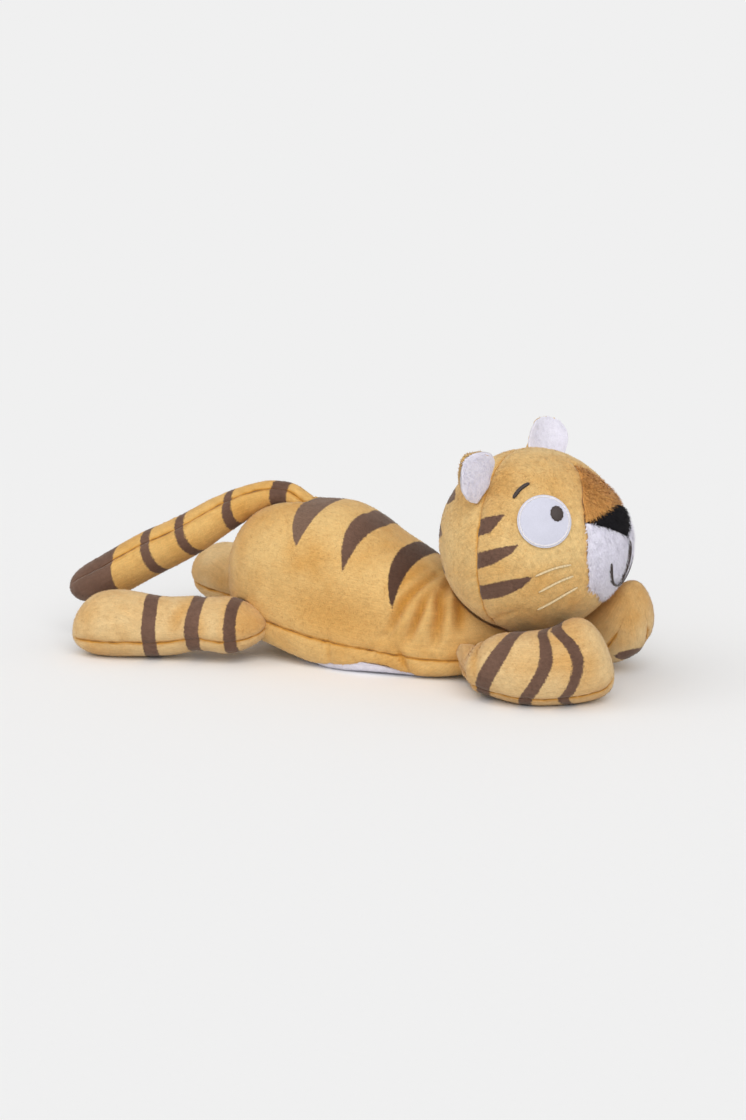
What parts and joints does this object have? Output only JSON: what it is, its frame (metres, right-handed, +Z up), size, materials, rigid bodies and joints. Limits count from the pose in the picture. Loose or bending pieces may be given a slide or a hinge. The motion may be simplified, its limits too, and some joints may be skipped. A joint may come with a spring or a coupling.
{
  "type": "plush tiger",
  "caption": "Lying stuffed toy tiger of sewn striped plush panels, with hinged head, ears, arms, legs and tail",
  "frame": {"origin": "on the surface that the toy lies on, under the middle of its length and width", "axes": "+X from the tail to the head, +Y to the toy's left, +Z up"},
  "size_m": [0.3649, 0.1734, 0.1464],
  "materials": {
    "striped_plush": "short-pile velour plush in honey gold with dyed taupe stripes",
    "honey_plush": "short-pile velour plush in honey gold",
    "white_plush": "short-pile plush in a cool white",
    "bridge_plush": "longer-pile plush in reddish brown",
    "nose_plush": "longer-pile plush in black",
    "white_felt": "smooth felt with a satin-stitched rim",
    "pupil_thread": "filled satin stitch, slightly glossy",
    "dark_thread": "dark brown satin stitch",
    "beige_thread": "beige satin stitch",
    "stuffing": "loose polyester fibre, matt"
  },
  "bodies": {
    "torso": {"torso_upper_panel": "striped_plush", "torso_under_panel": "honey_plush", "belly_panel": "white_plush", "torso_stuffing": "stuffing"},
    "head": {"face_panel": "striped_plush", "head_back_left": "striped_plush", "head_back_right": "striped_plush", "head_stuffing": "stuffing", "nose": "nose_plush", "nose_bridge": "bridge_plush", "muzzle": "white_plush", "mouth_line": "dark_thread", "mouth_curve": "dark_thread", "eye_left": "white_felt", "eye_right": "white_felt", "pupil_left": "pupil_thread", "pupil_right": "pupil_thread", "brow_left": "dark_thread", "brow_right": "dark_thread", "whisker_left_1": "beige_thread", "whisker_left_2": "beige_thread", "whisker_left_3": "beige_thread", "whisker_right_1": "beige_thread", "whisker_right_2": "beige_thread", "whisker_right_3": "beige_thread"},
    "ear_left": {"ear_left_front": "white_plush", "ear_left_back": "honey_plush"},
    "ear_right": {"ear_right_front": "white_plush", "ear_right_back": "honey_plush"},
    "arm_right": {"arm_right_upper_panel": "striped_plush", "arm_right_under_panel": "striped_plush", "arm_right_stuffing": "stuffing"},
    "arm_left": {"arm_left_upper_panel": "striped_plush", "arm_left_under_panel": "striped_plush", "arm_left_stuffing": "stuffing"},
    "leg_right": {"leg_right_upper_panel": "striped_plush", "leg_right_under_panel": "striped_plush", "leg_right_stuffing": "stuffing"},
    "leg_left": {"leg_left_upper_panel": "striped_plush", "leg_left_under_panel": "striped_plush", "leg_left_stuffing": "stuffing"},
    "tail": {"tail_left_panel": "striped_plush", "tail_right_panel": "striped_plush", "tail_stuffing": "stuffing"}
  },
  "joints": [
    {"name": "head_nod", "type": "hinge", "parent": "torso", "child": "head", "pos_m": [0.116, 0, 0.083], "axis": [0, -1, 0], "range_deg": [0, 15], "stiffness_Nm_per_rad": 0.05},
    {"name": "ear_left_fold", "type": "hinge", "parent": "head", "child": "ear_left", "pos_m": [0.10413, 0.03848, 0.12016], "axis": [0.568, 0.6265, -0.5338], "range_deg": [-20, 20], "stiffness_Nm_per_rad": 0.01},
    {"name": "ear_right_fold", "type": "hinge", "parent": "head", "child": "ear_right", "pos_m": [0.10413, -0.03848, 0.12016], "axis": [-0.4185, -0.5873, -0.6928], "range_deg": [-20, 20], "stiffness_Nm_per_rad": 0.01},
    {"name": "arm_right_swing", "type": "hinge", "parent": "torso", "child": "arm_right", "pos_m": [0.097, -0.043, 0.0232], "axis": [0, 0, -1], "range_deg": [0, 10], "stiffness_Nm_per_rad": 0.03},
    {"name": "arm_left_swing", "type": "hinge", "parent": "torso", "child": "arm_left", "pos_m": [0.097, 0.043, 0.0232], "axis": [0, 0, 1], "range_deg": [0, 10], "stiffness_Nm_per_rad": 0.03},
    {"name": "leg_right_swing", "type": "hinge", "parent": "torso", "child": "leg_right", "pos_m": [-0.066, -0.045, 0.02199], "axis": [0, 0, 1], "range_deg": [0, 20], "stiffness_Nm_per_rad": 0.03},
    {"name": "leg_left_swing", "type": "hinge", "parent": "torso", "child": "leg_left", "pos_m": [-0.066, 0.045, 0.02199], "axis": [0, 0, -1], "range_deg": [0, 20], "stiffness_Nm_per_rad": 0.03},
    {"name": "tail_lift", "type": "hinge", "parent": "torso", "child": "tail", "pos_m": [-0.0345, 0, 0.0905], "axis": [0, 1, 0], "range_deg": [0, 8], "stiffness_Nm_per_rad": 0.02}
  ]
}
